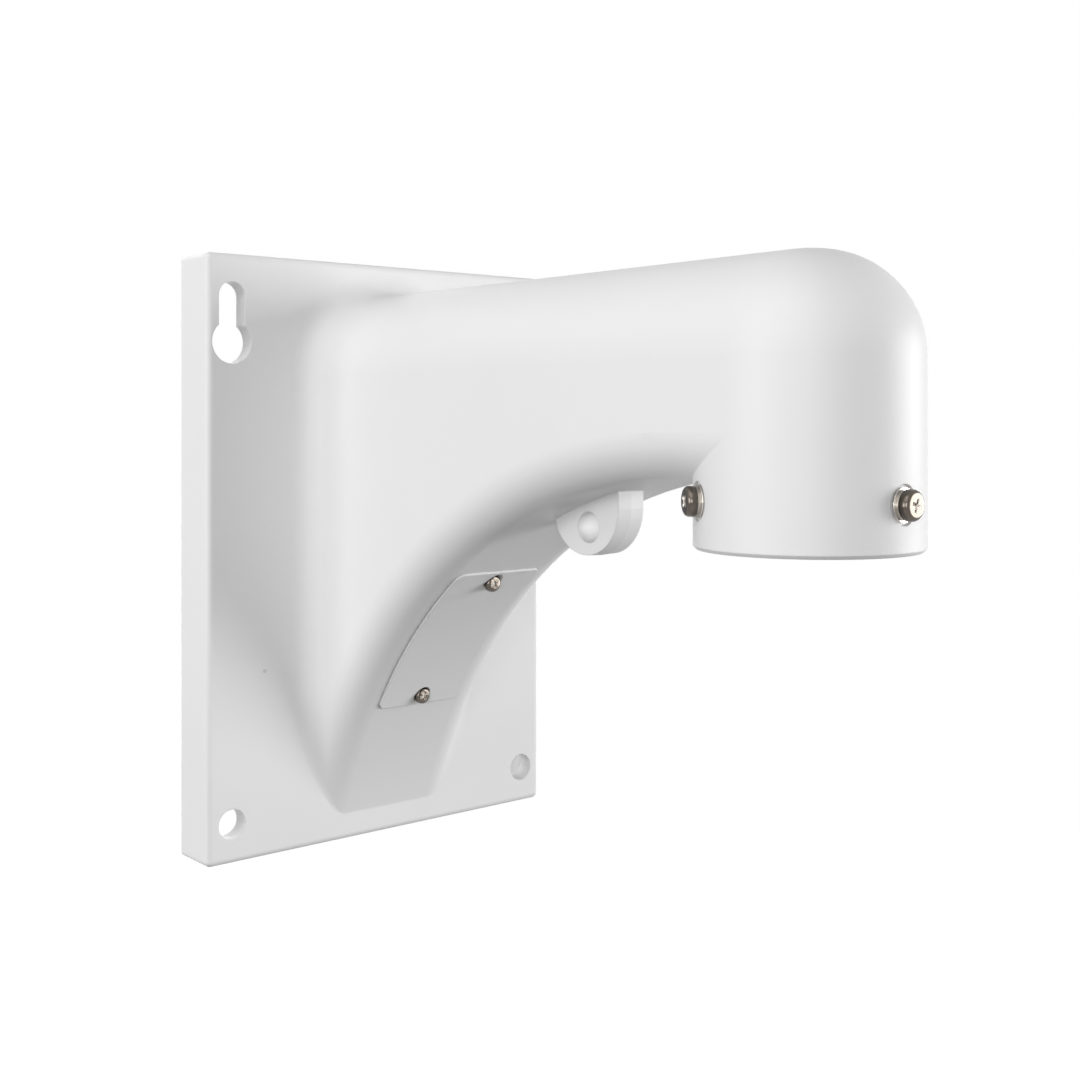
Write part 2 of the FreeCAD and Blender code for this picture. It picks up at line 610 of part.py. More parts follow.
def clamp_sketch(name, turn, diameter, diameter_by):
    """Circle on the seat of one clamp screw, turned about the axis of the collar."""
    sketch = new_sketch(casting, name, "XZ_Plane")
    lean = math.radians(turn)
    seat = size("clamp_seat")
    base = vec(-seat * math.sin(lean), 0, size("arm_reach") + seat * math.cos(lean))
    sketch.AttachmentOffset = FreeCAD.Placement(base, FreeCAD.Rotation(vec(0, 1), -turn))
    sketch.setExpression("AttachmentOffset.Base.x", "-sizes.clamp_seat * sin(%s deg)" % turn)
    out_by = "sizes.arm_reach + sizes.clamp_seat * cos(%s deg)" % turn
    sketch.setExpression("AttachmentOffset.Base.z", out_by)
    circle(sketch, "disc", 0, clamp_z, diameter, None, clamp_z_by, diameter_by)
    return sketch


for turn in clamp_turns:
    face = clamp_sketch("clamp_face_outline_" + str(turn), turn, size("clamp_seat_width"),
                        "sizes.clamp_seat_width")
    pocket(casting, face, "clamp_face_" + str(turn), "sizes.clamp_seat_width", reverse=True)
for turn in clamp_turns:
    tap = clamp_sketch("clamp_tap_outline_" + str(turn), turn,
                       size("clamp_thread") + 2 * size("thread_clearance"),
                       "sizes.clamp_thread + 2 * sizes.thread_clearance")
    pocket(casting, tap, "clamp_tap_" + str(turn), "sizes.clamp_seat_width")


# The arm's root: its fillet on the front of the plate gets smaller towards the foot
def root_edge(edge):
    point = middle(edge)
    inside = -root_drop - 0.01 < point.z < arm_top + 0.01 and abs(point.x) < size("arm_width") / 2 + 0.01
    return inside and level(edge, "y", -size("plate_depth"))


def root_radius(point):
    """Radius of the root fillet at a point of the arm's outline on the plate."""
    at_side = abs(abs(point.x) - size("arm_width") / 2) < 0.01
    if at_side or point.z > arm_top - size("arm_crown"):
        return size("root_fillet")
    return size("root_fillet_foot")


root = []
for number, edge in enumerate(casting.Shape.Edges, start=1):
    if root_edge(edge):
        first, last = edge.ParameterRange
        ends = [root_radius(edge.valueAt(first)), root_radius(edge.valueAt(last))]
        root.append((number, ends[0], ends[1]))
bracket = doc.addObject("Part::Fillet", "bracket_casting")
bracket.Label = "bracket_casting"
bracket.Base = casting
bracket.Edges = root
doc.recompute()

# Hatch cover: a curved plate with a cup for each screw, trimmed to the plate's outline
cover = new_body("hatch_cover")
plate = sector(cover, "cover_outline", cover_out, cover_out_by, cover_in, cover_in_by,
               low, "sizes.hatch_low_angle", high, "sizes.hatch_high_angle")
pad(cover, plate, "cover_plate", "sizes.hatch_width", both_ways=True)
for which in ("low", "high"):
    cup = level_disc(cover, "cup_outline_" + which, which, size("cup_width"), "sizes.cup_width",
                     "-sizes.cup_floor")
    pad(cover, cup, "cup_" + which, "sizes.boss_width")
trim_depth_by = "2 * sizes.cup_width"
trim = sector(cover, "cup_trim_outline", clear_of_arc, clear_of_arc_by, cover_out, cover_out_by,
              low - clear, "sizes.hatch_low_angle - " + clear_by,
              high + clear, "sizes.hatch_high_angle + " + clear_by)
pocket(cover, trim, "cup_trim", trim_depth_by, both_ways=True)
trim = sector(cover, "low_trim_outline", clear_of_arc, clear_of_arc_by,
              radius + 2 * size("arm_wall"), "sizes.underside_radius + 2 * sizes.arm_wall",
              low - clear, "sizes.hatch_low_angle - " + clear_by, low, "sizes.hatch_low_angle")
pocket(cover, trim, "low_trim", trim_depth_by, both_ways=True)
fillet(cover, "cover_corners", "sizes.hatch_corner",
       lambda e: radial_edge(e, size("hatch_width") / 2, (low, high)))
for which in ("low", "high"):
    bore = level_disc(cover, "cup_bore_outline_" + which, which, size("cup_bore"), "sizes.cup_bore", "0")
    pocket(cover, bore, "cup_bore_" + which, "sizes.boss_width", reverse=True)
    hole = level_disc(cover, "cover_hole_outline_" + which, which,
                      size("hatch_thread") + 2 * size("screw_hole_clearance"),
                      "sizes.hatch_thread + 2 * sizes.screw_hole_clearance", "0")
    pocket(cover, hole, "cover_hole_" + which, "sizes.boss_width")


def disc(body, name, diameter, diameter_by, offset="0"):
    """Level circle about the piece's own axis."""
    sketch = new_sketch(body, name, "XY_Plane", offset)
    circle(sketch, "disc", 0, 0, diameter, None, None, diameter_by)
    return sketch


def pan_screw(family):
    """Pan head screw with a cross recess, head up, its seat at z = 0."""
    of = "sizes." + family
    screw = new_body(family + "_screw")
    head = disc(screw, "head_outline_" + family, size(family + "_head_width"), of + "_head_width")
    pad(screw, head, "head_" + family, of + "_head_height")
    shank = disc(screw, "shank_outline_" + family, size(family + "_thread"), of + "_thread")
    pad(screw, shank, "shank_" + family, of + "_length", reverse=True)
    long, wide = size(family + "_cross_length"), size(family + "_cross_width")
    for bar in ("a", "b"):
        cross = new_sketch(screw, "cross_outline_" + bar + "_" + family, "XY_Plane", of + "_head_height")
        if bar == "a":
            rectangle(cross, long, wide, of + "_cross_length", of + "_cross_width")
        else:
            rectangle(cross, wide, long, of + "_cross_width", of + "_cross_length")
        pocket(screw, cross, "cross_" + bar + "_" + family, of + "_cross_depth")
    return screw


def washer(family, kind, split):
    """Flat ring on z = 0, split on one side where it is a spring washer."""
    of = "sizes." + family
    ring = new_body(family + "_" + kind)
    width, width_by = size(family + "_" + kind + "_width"), of + "_" + kind + "_width"
    height_by = of + "_" + kind + "_height"
    outline = disc(ring, "ring_outline_" + ring.Name, width, width_by)
    pad(ring, outline, "ring_" + ring.Name, height_by)
    hole_width = size(family + "_thread") + 2 * size("washer_clearance")
    hole = disc(ring, "ring_hole_outline_" + ring.Name, hole_width,
                of + "_thread + 2 * sizes.washer_clearance")
    pocket(ring, hole, "ring_hole_" + ring.Name, height_by, reverse=True)
    if split:
        slit = new_sketch(ring, "slit_outline_" + ring.Name, "XY_Plane")
        slit.setExpression("AttachmentOffset.Base.y", width_by + " / 2")
        rectangle(slit, size("spring_gap"), width, "sizes.spring_gap", width_by)
        pocket(ring, slit, "slit_" + ring.Name, height_by, reverse=True)
    return ring


def group(label, piece, places):
    """One node of several copies of a piece."""
    copies = []
    for number, place in enumerate(places, start=1):
        copy = doc.addObject("App::Link", label + "_" + str(number))
        copy.setLink(piece)
        copy.Placement = place
        copies.append(copy)
    node = doc.addObject("Part::Compound", label)
    node.Label = label
    node.Links = copies
    doc.recompute()
    return node


def hatch_places(above):
    """Places on the axes of the cover's screws, at a height above their seats."""
    places = []
    for which in ("low", "high"):
        height, height_by, seat, seat_by = hatch_screw_place(which)
        places.append(FreeCAD.Placement(vec(0, -seat - above, height), FreeCAD.Rotation(vec(1, 0), 90)))
    return places


def clamp_places(above):
    """Places on the axes of the clamp screws, at a height above their seats."""
    places = []
    for turn in clamp_turns:
        lean = math.radians(turn)
        out = vec(-math.sin(lean), -math.cos(lean))
        spot = vec(0, -size("arm_reach"), clamp_z) + out * (size("clamp_seat") + above)
        spin = FreeCAD.Rotation(vec(0, 0, 1), -turn).multiply(FreeCAD.Rotation(vec(1, 0), 90))
        places.append(FreeCAD.Placement(spot, spin))
    return places


hatch_stack = size("hatch_washer_height")
clamp_stack = size("clamp_washer_height") + size("clamp_spring_height")
nodes = [bracket, cover]
nodes.append(group("hatch_spring_washers", washer("hatch", "washer", True), hatch_places(0)))
nodes.append(group("hatch_screws", pan_screw("hatch"), hatch_places(hatch_stack)))
nodes.append(group("clamp_flat_washers", washer("clamp", "washer", False), clamp_places(0)))
nodes.append(group("clamp_spring_washers", washer("clamp", "spring", True),
                   clamp_places(size("clamp_washer_height"))))
nodes.append(group("clamp_screws", pan_screw("clamp"), clamp_places(clamp_stack)))

doc.recompute()
for thing in doc.Objects:
    if "Invalid" in thing.State or "Error" in thing.State:
        raise RuntimeError(thing.Name + " failed")
for node in nodes:
    if node.Shape.isNull() or not node.Shape.isValid():
        raise RuntimeError(node.Label + " has no valid shape")
os.makedirs("parts", exist_ok=True)
for node in nodes:
    print(node.Label, len(node.Shape.Solids), "solids", round(node.Shape.Volume, 1), "mm3")
    node.Shape.exportStep("parts/" + node.Label + ".step")
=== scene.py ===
import math

import bpy
from mathutils import Euler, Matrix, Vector


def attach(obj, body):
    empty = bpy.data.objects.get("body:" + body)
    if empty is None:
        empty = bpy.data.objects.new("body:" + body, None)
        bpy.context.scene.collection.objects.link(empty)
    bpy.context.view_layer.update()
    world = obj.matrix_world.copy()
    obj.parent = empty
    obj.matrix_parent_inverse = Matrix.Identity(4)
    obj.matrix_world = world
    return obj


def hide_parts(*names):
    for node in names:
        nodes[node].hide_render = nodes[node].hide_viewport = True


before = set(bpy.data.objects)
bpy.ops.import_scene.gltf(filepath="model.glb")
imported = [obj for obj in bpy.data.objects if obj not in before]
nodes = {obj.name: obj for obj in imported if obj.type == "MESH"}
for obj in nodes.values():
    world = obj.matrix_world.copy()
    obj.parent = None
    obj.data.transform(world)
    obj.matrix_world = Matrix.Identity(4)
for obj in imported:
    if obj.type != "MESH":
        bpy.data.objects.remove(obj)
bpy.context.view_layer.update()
mm = 0.001
print("frame loaded:", ", ".join(sorted(nodes)))


# Helpers for pieces

def deselectAll():
    if bpy.context.object and bpy.context.object.mode != "OBJECT":
        bpy.ops.object.mode_set(mode="OBJECT")
    bpy.ops.object.select_all(action="DESELECT")


def makeActive(piece):
    deselectAll()
    piece.select_set(True)
    bpy.context.view_layer.objects.active = piece


def applyPlace(piece):
    makeActive(piece)
    bpy.ops.object.transform_apply(location=True, rotation=True, scale=True)


def applyModifier(piece, kind, **settings):
    makeActive(piece)
    modifier = piece.modifiers.new(kind.lower(), kind)
    for name, value in settings.items():
        setattr(modifier, name, value)
    bpy.ops.object.modifier_apply(modifier=modifier.name)


def selectEdges(piece, test):
    # selects the edges whose two ends both pass the test, and stays in edit mode
    makeActive(piece)
    bpy.ops.object.mode_set(mode="EDIT")
    bpy.ops.mesh.select_mode(type="EDGE")
    bpy.ops.mesh.select_all(action="DESELECT")
    bpy.ops.object.mode_set(mode="OBJECT")
    spots = piece.data.vertices
    for edge in piece.data.edges:
        edge.select = all(test(spots[i].co) for i in edge.vertices)
    bpy.ops.object.mode_set(mode="EDIT")


weldDistance = 0.004 * mm  # doubles nearer than this are merged


def finishPiece(piece, name, angle=40):
    makeActive(piece)
    bpy.ops.object.mode_set(mode="EDIT")
    bpy.ops.mesh.select_all(action="SELECT")
    bpy.ops.mesh.remove_doubles(threshold=weldDistance)
    bpy.ops.mesh.normals_make_consistent(inside=False)
    bpy.ops.object.mode_set(mode="OBJECT")
    bpy.ops.object.shade_smooth_by_angle(angle=math.radians(angle))
    applyPlace(piece)
    piece.name = name
    piece.data.name = name
    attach(piece, "root")


# Camera

camera = {
    "place": (-0.2892, -0.4447, 0.0446),
    "turn": -40.16,
    "lens": 48.2,
    "sensor": 36,
    "shift": -0.109,
    "nearest": 10 * mm,
}

deselectAll()
bpy.ops.object.camera_add(
    location=camera["place"], rotation=(math.radians(90), 0, math.radians(camera["turn"])))
photoCamera = bpy.context.object
photoCamera.data.sensor_width = camera["sensor"]
photoCamera.data.lens = camera["lens"]
photoCamera.data.shift_y = camera["shift"]
photoCamera.data.clip_start = camera["nearest"]
bpy.context.scene.camera = photoCamera
print("camera placed")


# Light, floor and backdrop

studio = {
    "middle": (0, -0.11, 0),
    "lamps": {
        "leftSoftbox": {"place": (-1.3, 0.1, 0.15), "size": (1.0, 0.5), "watts": 7.7},
        "frontSoftbox": {"place": (-1.0, -1.1, 0.15), "size": (0.8, 0.5), "watts": 5.8},
        "topSoftbox": {"place": (-0.8, -0.8, 1.0), "size": (1.0, 1.0), "watts": 4.2},
        "highSoftbox": {"place": (-0.9, 0.0, 1.0), "size": (1.0, 1.0), "watts": 3},
        "rightSoftbox": {"place": (1.1, -0.85, 0.05), "size": (0.9, 0.6), "watts": 14},
        "backSoftbox": {"place": (0.3, 1.5, 0.2), "size": (1.2, 1.2), "watts": 16},
    },
    "ambient": 0.15,
    "backdropWhite": 1,
    "floorHeight": -0.6,
    "floorSize": 8,
    "floorColour": 0.15,
    "floorGlow": 0.98,  # seen only by the camera and in reflections
}

for lampName, lamp in studio["lamps"].items():
    aim = Vector(studio["middle"]) - Vector(lamp["place"])
    bpy.ops.object.light_add(
        type="AREA", location=lamp["place"], rotation=aim.to_track_quat("-Z", "Y").to_euler())
    light = bpy.context.object
    light.name = lampName
    light.data.shape = "RECTANGLE"
    light.data.size, light.data.size_y = lamp["size"]
    light.data.energy = lamp["watts"]


def seenDirectly(tree):
    # 1 for a ray of the camera, a reflection or glass, and 0 for one that only lights
    path = tree.nodes.new("ShaderNodeLightPath")
    first = tree.nodes.new("ShaderNodeMath")
    first.operation = "MAXIMUM"
    second = tree.nodes.new("ShaderNodeMath")
    second.operation = "MAXIMUM"
    tree.links.new(path.outputs["Is Camera Ray"], first.inputs[0])
    tree.links.new(path.outputs["Is Glossy Ray"], first.inputs[1])
    tree.links.new(first.outputs[0], second.inputs[0])
    tree.links.new(path.outputs["Is Transmission Ray"], second.inputs[1])
    return second.outputs[0]


world = bpy.data.worlds.new("studioWorld")
bpy.context.scene.world = world
world.use_nodes = True
tree = world.node_tree
tree.nodes.clear()
fill = tree.nodes.new("ShaderNodeBackground")
fill.inputs["Color"].default_value = (1, 1, 1, 1)
fill.inputs["Strength"].default_value = studio["ambient"]
white = tree.nodes.new("ShaderNodeBackground")
white.inputs["Color"].default_value = (1, 1, 1, 1)
white.inputs["Strength"].default_value = studio["backdropWhite"]
mix = tree.nodes.new("ShaderNodeMixShader")
out = tree.nodes.new("ShaderNodeOutputWorld")
tree.links.new(seenDirectly(tree), mix.inputs[0])
tree.links.new(fill.outputs[0], mix.inputs[1])
tree.links.new(white.outputs[0], mix.inputs[2])
tree.links.new(mix.outputs[0], out.inputs["Surface"])

bpy.ops.mesh.primitive_plane_add(size=studio["floorSize"], location=(0, 0, studio["floorHeight"]))
floor = bpy.context.object
floor.name = "paleFloor"
floorPaint = bpy.data.materials.new("floorPaint")
floorPaint.use_nodes = True
tree = floorPaint.node_tree
tree.nodes.clear()
matte = tree.nodes.new("ShaderNodeBsdfDiffuse")
matte.inputs["Color"].default_value = (*[studio["floorColour"]] * 3, 1)
glow = tree.nodes.new("ShaderNodeEmission")
glow.inputs["Color"].default_value = (1, 1, 1, 1)
glow.inputs["Strength"].default_value = studio["floorGlow"]
nothing = tree.nodes.new("ShaderNodeEmission")
nothing.inputs["Strength"].default_value = 0
pick = tree.nodes.new("ShaderNodeMixShader")
both = tree.nodes.new("ShaderNodeAddShader")
out = tree.nodes.new("ShaderNodeOutputMaterial")
tree.links.new(seenDirectly(tree), pick.inputs[0])
tree.links.new(nothing.outputs[0], pick.inputs[1])
tree.links.new(glow.outputs[0], pick.inputs[2])
tree.links.new(matte.outputs[0], both.inputs[0])
tree.links.new(pick.outputs[0], both.inputs[1])
tree.links.new(both.outputs[0], out.inputs["Surface"])
floor.data.materials.append(floorPaint)
bpy.context.scene.view_settings.view_transform = "Standard"
print("studio lit")


# Shader effects that several materials share

def newGroup(name, inputs, outputs):
    group = bpy.data.node_groups.new(name, "ShaderNodeTree")
    for label, value in inputs.items():
        socket = group.interface.new_socket(name=label, in_out="INPUT", socket_type="NodeSocketFloat")
        socket.default_value = value
    for label, kind in outputs.items():
        group.interface.new_socket(name=label, in_out="OUTPUT", socket_type=kind)
    return group, group.nodes.new("NodeGroupInput"), group.nodes.new("NodeGroupOutput")


def mathNode(tree, operation, *values, clamp=False):
    node = tree.nodes.new("ShaderNodeMath")
    node.operation = operation
    node.use_clamp = clamp
    for i, value in enumerate(values):
        if isinstance(value, (int, float)):
            node.inputs[i].default_value = value
        else:
            tree.links.new(value, node.inputs[i])
    return node.outputs[0]


def noiseNode(tree, vector, scale, detail, roughness):
    node = tree.nodes.new("ShaderNodeTexNoise")
    node.inputs["Detail"].default_value = detail
    node.inputs["Roughness"].default_value = roughness
    tree.links.new(vector, node.inputs["Vector"])
    tree.links.new(scale, node.inputs["Scale"])
    return node.outputs["Fac"]


# fine grain: small bumps, and slow changes of tone over the piece
grain, given, give = newGroup("surfaceGrain", {"Size": 1500.0, "Slow Size": 25.0}, {
    "Height": "NodeSocketFloat", "Tone": "NodeSocketFloat"})
where = grain.nodes.new("ShaderNodeTexCoord").outputs["Object"]
small = noiseNode(grain, where, given.outputs["Size"], 3, 0.55)
slow = noiseNode(grain, where, given.outputs["Slow Size"], 4, 0.5)
grain.links.new(small, give.inputs["Height"])
grain.links.new(slow, give.inputs["Tone"])

# edges: 1 on convex edges, broken up by noise, a mask that paints a highlight along them, and the normal of
# a rounded edge
edgeContrast = 6.0
edges, given, give = newGroup("edgeHighlight", {"Width": 0.0006, "Spots": 300.0}, {
    "Mask": "NodeSocketFloat", "Normal": "NodeSocketVector"})
bevel = edges.nodes.new("ShaderNodeBevel")
bevel.samples = 6
edges.links.new(given.outputs["Width"], bevel.inputs["Radius"])
shape = edges.nodes.new("ShaderNodeNewGeometry")
dot = edges.nodes.new("ShaderNodeVectorMath")
dot.operation = "DOT_PRODUCT"
edges.links.new(bevel.outputs[0], dot.inputs[0])
edges.links.new(shape.outputs["Normal"], dot.inputs[1])
turned = mathNode(edges, "SUBTRACT", 1.0, dot.outputs["Value"])
where = edges.nodes.new("ShaderNodeTexCoord").outputs["Object"]
spots = noiseNode(edges, where, given.outputs["Spots"], 3, 0.6)
litEdge = mathNode(edges, "MULTIPLY", mathNode(edges, "MULTIPLY", turned, edgeContrast), spots, clamp=True)
edges.links.new(litEdge, give.inputs["Mask"])
edges.links.new(bevel.outputs[0], give.inputs["Normal"])

# painted corner shade: 1 in corners and crevices, where ambient occlusion finds shade, broken up by noise
shadeInCorners, given, give = newGroup("paintedCornerShade", {"Reach": 0.006, "Patches": 60.0}, {"Mask": "NodeSocketFloat"})
shade = shadeInCorners.nodes.new("ShaderNodeAmbientOcclusion")
shade.samples = 4
shadeInCorners.links.new(given.outputs["Reach"], shade.inputs["Distance"])
where = shadeInCorners.nodes.new("ShaderNodeTexCoord").outputs["Object"]
patches = noiseNode(shadeInCorners, where, given.outputs["Patches"], 5, 0.6)
hidden = mathNode(shadeInCorners, "SUBTRACT", 1.0, shade.outputs["AO"])
cornerShaded = mathNode(shadeInCorners, "MULTIPLY", hidden, patches, clamp=True)
shadeInCorners.links.new(cornerShaded, give.inputs["Mask"])
print("shader effects made")


# Materials

def placeGroup(tree, group, values):
    node = tree.nodes.new("ShaderNodeGroup")
    node.node_tree = group
    for name, value in values.items():
        node.inputs[name].default_value = value
    return node.outputs


def mixColour(tree, factor, first, second):
    node = tree.nodes.new("ShaderNodeMix")
    node.data_type = "RGBA"
    tree.links.new(factor, node.inputs["Factor"])
    for socket, value in ((node.inputs[6], first), (node.inputs[7], second)):
        if isinstance(value, tuple):
            socket.default_value = (*value, 1)
        else:
            tree.links.new(value, socket)
    return node.outputs[2]


def rangeNode(tree, value, low, high):
    node = tree.nodes.new("ShaderNodeMapRange")
    tree.links.new(value, node.inputs["Value"])
    node.inputs["To Min"].default_value = low
    node.inputs["To Max"].default_value = high
    return node.outputs[0]


def bumpNode(tree, height, depth, strength, normal):
    node = tree.nodes.new("ShaderNodeBump")
    node.inputs["Strength"].default_value = strength
    node.inputs["Distance"].default_value = depth
    tree.links.new(height, node.inputs["Height"])
    tree.links.new(normal, node.inputs["Normal"])
    return node.outputs[0]


coat = {
    "colour": (0.83, 0.83, 0.83),
    "deeper": (0.80, 0.80, 0.80),
    # the edge colour is a painted highlight along convex edges
    "edge": (0.88, 0.88, 0.88),
    "edgeShare": 0.5,
    # the next colour and share paint shade into corners and crevices
    "cornerShadeTone": (0.62, 0.61, 0.59),
    "cornerShadeShare": 0.15,
    "roughness": (0.40, 0.50),
    "specular": 0.3,
    "grain": {"Size": 1500.0, "Slow Size": 22.0},
    "grainDepth": 0.06 * mm,
    "grainStrength": 0.35,
    "edges": {"Width": 0.0005, "Spots": 260.0},
    "shadeInCorners": {"Reach": 0.004, "Patches": 70.0},
    "speck": {"place": (-0.0489, -0.018, -0.0382), "size": 0.7 * mm, "colour": (0.66, 0.66, 0.65)},
}


def powderCoat(name, speck=None):
    material = bpy.data.materials.new(name)
    material.use_nodes = True
    tree = material.node_tree
    skin = tree.nodes["Principled BSDF"]
    skin.inputs["Specular IOR Level"].default_value = coat["specular"]
    grainOut = placeGroup(tree, grain, coat["grain"])
    edgeOut = placeGroup(tree, edges, coat["edges"])
    cornerShadeOut = placeGroup(tree, shadeInCorners, coat["shadeInCorners"])
    # painted highlight: convex edges take the lighter edge colour
    litEdge = mathNode(tree, "MULTIPLY", edgeOut["Mask"], coat["edgeShare"])
    # painted shade: corners and crevices take the darker colour
    cornerShaded = mathNode(tree, "MULTIPLY", cornerShadeOut["Mask"], coat["cornerShadeShare"])
    colour = mixColour(tree, grainOut["Tone"], coat["colour"], coat["deeper"])
    colour = mixColour(tree, litEdge, colour, coat["edge"])
    colour = mixColour(tree, cornerShaded, colour, coat["cornerShadeTone"])
    if speck:
        where = tree.nodes.new("ShaderNodeTexCoord")
        away = tree.nodes.new("ShaderNodeVectorMath")
        away.operation = "DISTANCE"
        away.inputs[1].default_value = speck["place"]
        tree.links.new(where.outputs["Object"], away.inputs[0])
        near = mathNode(tree, "LESS_THAN", away.outputs["Value"], speck["size"])
        colour = mixColour(tree, near, colour, speck["colour"])
    tree.links.new(colour, skin.inputs["Base Color"])
    tree.links.new(rangeNode(tree, grainOut["Tone"], *coat["roughness"]), skin.inputs["Roughness"])
    bump = bumpNode(
        tree, grainOut["Height"], coat["grainDepth"], coat["grainStrength"], edgeOut["Normal"])
    tree.links.new(bump, skin.inputs["Normal"])
    return material


metals = {
    # dark head steel: the dark reflection of the room is painted into its colour
    "shadedScrewSteel": {
        "colour": (0.15, 0.13, 0.11), "darker": (0.08, 0.07, 0.06),
        "roughness": (0.12, 0.24), "grain": 5000.0, "cornerShadeShare": 1.0},
    # light recess steel: a painted highlight on the walls and bottom of the cross
    "litRecessSteel": {
        "colour": (0.90, 0.87, 0.83), "darker": (0.76, 0.73, 0.69),
        "roughness": (0.20, 0.34), "grain": 5000.0, "cornerShadeShare": 0.6},
    "washerSteel": {
        "colour": (0.74, 0.72, 0.69), "darker": (0.62, 0.60, 0.57),
        "roughness": (0.22, 0.36), "grain": 4000.0, "cornerShadeShare": 0.4},
    "springSteel": {
        "colour": (0.52, 0.48, 0.44), "darker": (0.38, 0.35, 0.31),
        "roughness": (0.24, 0.38), "grain": 4000.0, "cornerShadeShare": 0.6},
    "threadMetal": {
        "colour": (0.78, 0.78, 0.78), "darker": (0.66, 0.66, 0.66),
        "roughness": (0.22, 0.34), "grain": 3000.0, "cornerShadeShare": 1.0},
}
metalDetail = {
    "slowSize": 400.0,
    "grainDepth": 0.01 * mm,
    "grainStrength": 0.4,
    "edges": {"Width": 0.0002, "Spots": 900.0},
    "shadeInCorners": {"Reach": 0.0015, "Patches": 500.0},
    "cornerShadeTone": 0.4,  # painted shade in corners takes the darker tone to this share
    "litEdge": 1.2,  # painted highlight: edges take the colour to this share
}


def metal(name):
    facts = metals[name]
    material = bpy.data.materials.new(name)
    material.use_nodes = True
    tree = material.node_tree
    skin = tree.nodes["Principled BSDF"]
    skin.inputs["Metallic"].default_value = 1
    grainOut = placeGroup(tree, grain, {"Size": facts["grain"], "Slow Size": metalDetail["slowSize"]})
    edgeOut = placeGroup(tree, edges, metalDetail["edges"])
    cornerShadeOut = placeGroup(tree, shadeInCorners, metalDetail["shadeInCorners"])
    # painted shade: corners and crevices darken toward a deeper tone
    cornerShaded = mathNode(tree, "MULTIPLY", cornerShadeOut["Mask"], facts["cornerShadeShare"])
    cornerShadeTone = tuple(metalDetail["cornerShadeTone"] * part for part in facts["darker"])
    # painted highlight: edges take a brighter copy of the colour
    bright = tuple(min(1, metalDetail["litEdge"] * part) for part in facts["colour"])
    tone = mixColour(tree, grainOut["Tone"], facts["colour"], facts["darker"])
    tone = mixColour(tree, cornerShaded, tone, cornerShadeTone)
    tone = mixColour(tree, edgeOut["Mask"], tone, bright)
    tree.links.new(tone, skin.inputs["Base Color"])
    tree.links.new(rangeNode(tree, grainOut["Height"], *facts["roughness"]), skin.inputs["Roughness"])
    bump = bumpNode(tree, grainOut["Height"], metalDetail["grainDepth"],
                    metalDetail["grainStrength"], edgeOut["Normal"])
    tree.links.new(bump, skin.inputs["Normal"])
    return material


castingCoat = powderCoat("castingCoat", speck=coat["speck"])
coverCoat = powderCoat("coverCoat")
shadedScrewSteel = metal("shadedScrewSteel")
litRecessSteel = metal("litRecessSteel")
washerSteel = metal("washerSteel")
springSteel = metal("springSteel")
threadMetal = metal("threadMetal")

dressing = {
    "bracket_casting": castingCoat,
    "hatch_cover": coverCoat,
    # the screw steel's dark colour is a painted dark reflection
    "hatch_screws": shadedScrewSteel,
    "clamp_screws": shadedScrewSteel,
    "hatch_spring_washers": springSteel,
    "clamp_spring_washers": springSteel,
    "clamp_flat_washers": washerSteel,
}
for nodeName, material in dressing.items():
    for holder in nodes[nodeName].material_slots:
        holder.material = material
print("nodes dressed")


# Pan head screws

clampScrew = {
    "headWidth": 7.8 * mm,
    "headHeight": 2.6 * mm,
    "thread": 4 * mm,
    "pitch": 0.7 * mm,
    "length": 7.5 * mm,
    "crossLength": 4.6 * mm,
    "crossWidth": 1.15 * mm,
    "crossDepth": 1.6 * mm,
    "collarAxis": (0, -207.8 * mm, 24.8 * mm),
    "seat": 28.5 * mm,
    "stack": 1.6 * mm,  # the two washers
    "spots": ({"turn": 0, "crossTurn": 20}, {"turn": 120, "crossTurn": 40}, {"turn": 240, "crossTurn": 60}),
}
hatchScrew = {
    "headWidth": 5.6 * mm,
    "headHeight": 2.2 * mm,
    "thread": 3 * mm,
    "pitch": 0.5 * mm,
    "length": 8 * mm,
    "crossLength": 4.4 * mm,
    "crossWidth": 1.15 * mm,
    "crossDepth": 1.3 * mm,
    "undersideCentre": (-185.185 * mm, -146 * mm),
    "undersideRadius": 176 * mm,
    "stack": 0.8 * mm,  # the spring washer
    "spots": ({"angle": 33.4, "sink": 0.7 * mm, "crossTurn": -25},
              {"angle": 52.0, "sink": 0.3 * mm, "crossTurn": -33}),
}
panHead = {
    "crown": 0.46,  # shares of the head's height
    "foot": 0.05,
    "crossTaper": 0.5,
    "coreDepth": 0.61,  # shares of the pitch
    "ridgeHeight": 0.65,
    "threadLow": -0.95,  # shares of the shank's length
    "threadLength": 0.86,
    "tip": 0.3,  # share of the core's radius
}


def threadRidge(outer, pitch, low, turns, height, steps=32):
    # a triangular ridge that winds round the Z axis, inwards where its height is negative
    deselectAll()
    bpy.ops.mesh.primitive_circle_add(
        vertices=3, radius=pitch / 2, fill_type="NOTHING", location=(0, 0, 0))
    ridge = bpy.context.object
    foot = 0.45 * pitch
    corners = ((outer - height, 0, -foot), (outer, 0, 0), (outer - height, 0, foot))
    for vertex, corner in zip(ridge.data.vertices, corners):
        vertex.co = Vector(corner) + Vector((0, 0, low))
    applyModifier(ridge, "SCREW", axis="Z", screw_offset=pitch, iterations=turns, steps=steps,
                  render_steps=steps, use_smooth_shade=True)
    makeActive(ridge)
    bpy.ops.object.mode_set(mode="EDIT")
    bpy.ops.mesh.select_all(action="SELECT")
    bpy.ops.mesh.fill_holes(sides=3)
    bpy.ops.object.mode_set(mode="OBJECT")
    return ridge


